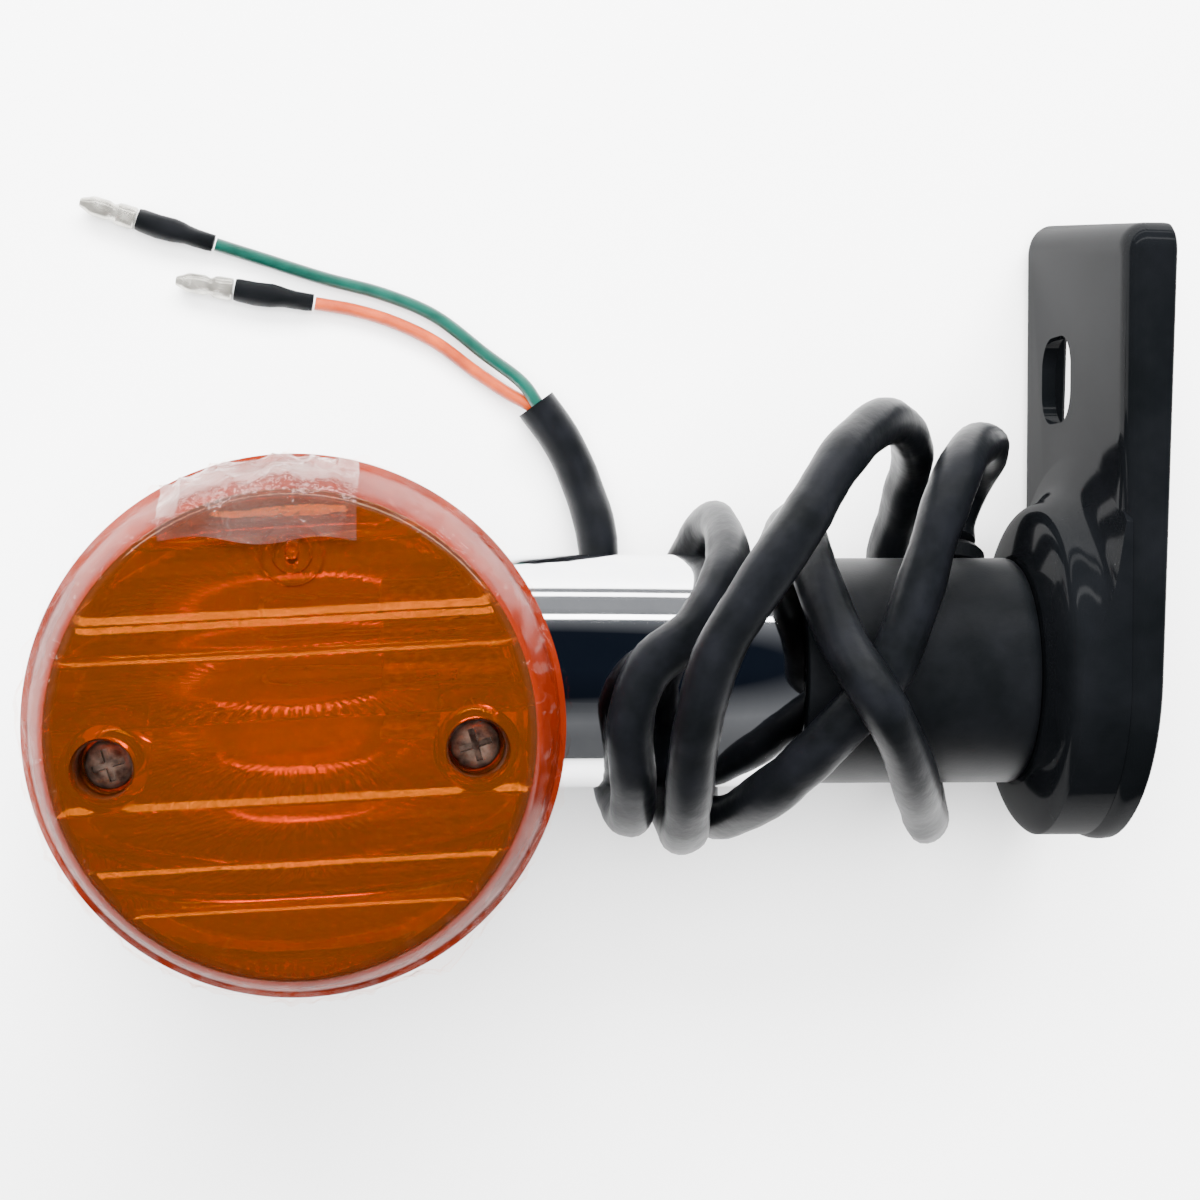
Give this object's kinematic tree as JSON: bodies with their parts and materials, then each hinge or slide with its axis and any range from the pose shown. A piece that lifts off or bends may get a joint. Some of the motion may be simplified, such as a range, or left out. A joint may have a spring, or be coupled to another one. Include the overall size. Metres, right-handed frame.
{
  "type": "motorcycle turn signal",
  "caption": "Round amber turn signal on a chromed stem with a rubber stalk, pressed black bracket, bayonet bulb and wound two-wire lead.",
  "frame": {"origin": "middle of the body's box at its base, without the lead", "axes": "+X from the lamp along the stem to the bracket, +Z the way the lens faces, with the lamp lying on its back"},
  "size_m": [0.1528, 0.112, 0.0607],
  "materials": {
    "chrome": "bright chrome plate on a zinc casting",
    "amber_lens": "transparent amber acrylic, moulded",
    "clear_film": "clear protective film, wrinkled",
    "black_paint": "gloss black enamel on pressed steel",
    "black_rubber": "satin moulded rubber",
    "black_pvc": "soft black sleeving, creased",
    "green_pvc": "green insulation",
    "orange_pvc": "orange insulation",
    "tin_plate": "bright tin plate on brass",
    "zinc_plate": "zinc-plated steel",
    "dark_steel": "tarnished steel",
    "vacuum_silver": "vacuum-metallised reflector",
    "bulb_clear": "clear bulb glass",
    "brass": "drawn brass",
    "phenolic": "phenolic board"
  },
  "bodies": {
    "root": {"bracket": "black_paint", "rubber_stalk": "black_rubber", "stalk_stud": "zinc_plate", "stud_washer": "zinc_plate", "lock_washer": "zinc_plate", "stud_nut": "zinc_plate", "lead_grommet": "black_rubber", "lead_sleeve": "black_pvc"},
    "head": {"housing": "chrome", "lens": "amber_lens", "protective_film": "clear_film", "lens_gasket": "black_rubber", "reflector": "vacuum_silver", "bulb_socket": "zinc_plate", "socket_carrier": "zinc_plate", "contact_spring": "dark_steel", "lens_screw_right": "dark_steel", "lens_screw_left": "dark_steel", "grub_screw": "dark_steel", "wire_green": "green_pvc", "wire_orange": "orange_pvc", "boot_green": "black_pvc", "boot_orange": "black_pvc", "terminal_green": "tin_plate", "terminal_orange": "tin_plate"},
    "plunger": {"contact_disc": "phenolic"},
    "bulb": {"bulb_glass": "bulb_clear", "bulb_base": "brass", "bulb_contact": "tin_plate", "bulb_filament": "dark_steel"}
  },
  "joints": [
    {"name": "stalk_flex", "type": "hinge", "parent": "root", "child": "head", "pos_m": [0.0446, -0.012, 0.024], "axis": [0, 0, 1], "range_deg": [-10, 10], "stiffness_Nm_per_rad": 12, "deforming": ["rubber_stalk", "lead_sleeve"]},
    {"name": "bulb_push", "type": "slide", "parent": "head", "child": "plunger", "axis": [1, 0, 0], "range_m": [0, 0.0022], "stiffness_N_per_m": 1500, "springref_m": -0.004, "deforming": ["contact_spring"]},
    {"name": "bulb_turn", "type": "hinge", "parent": "plunger", "child": "bulb", "pos_m": [-0.0224, -0.012, 0.024], "axis": [1, 0, 0], "range_deg": [0, 22]}
  ]
}
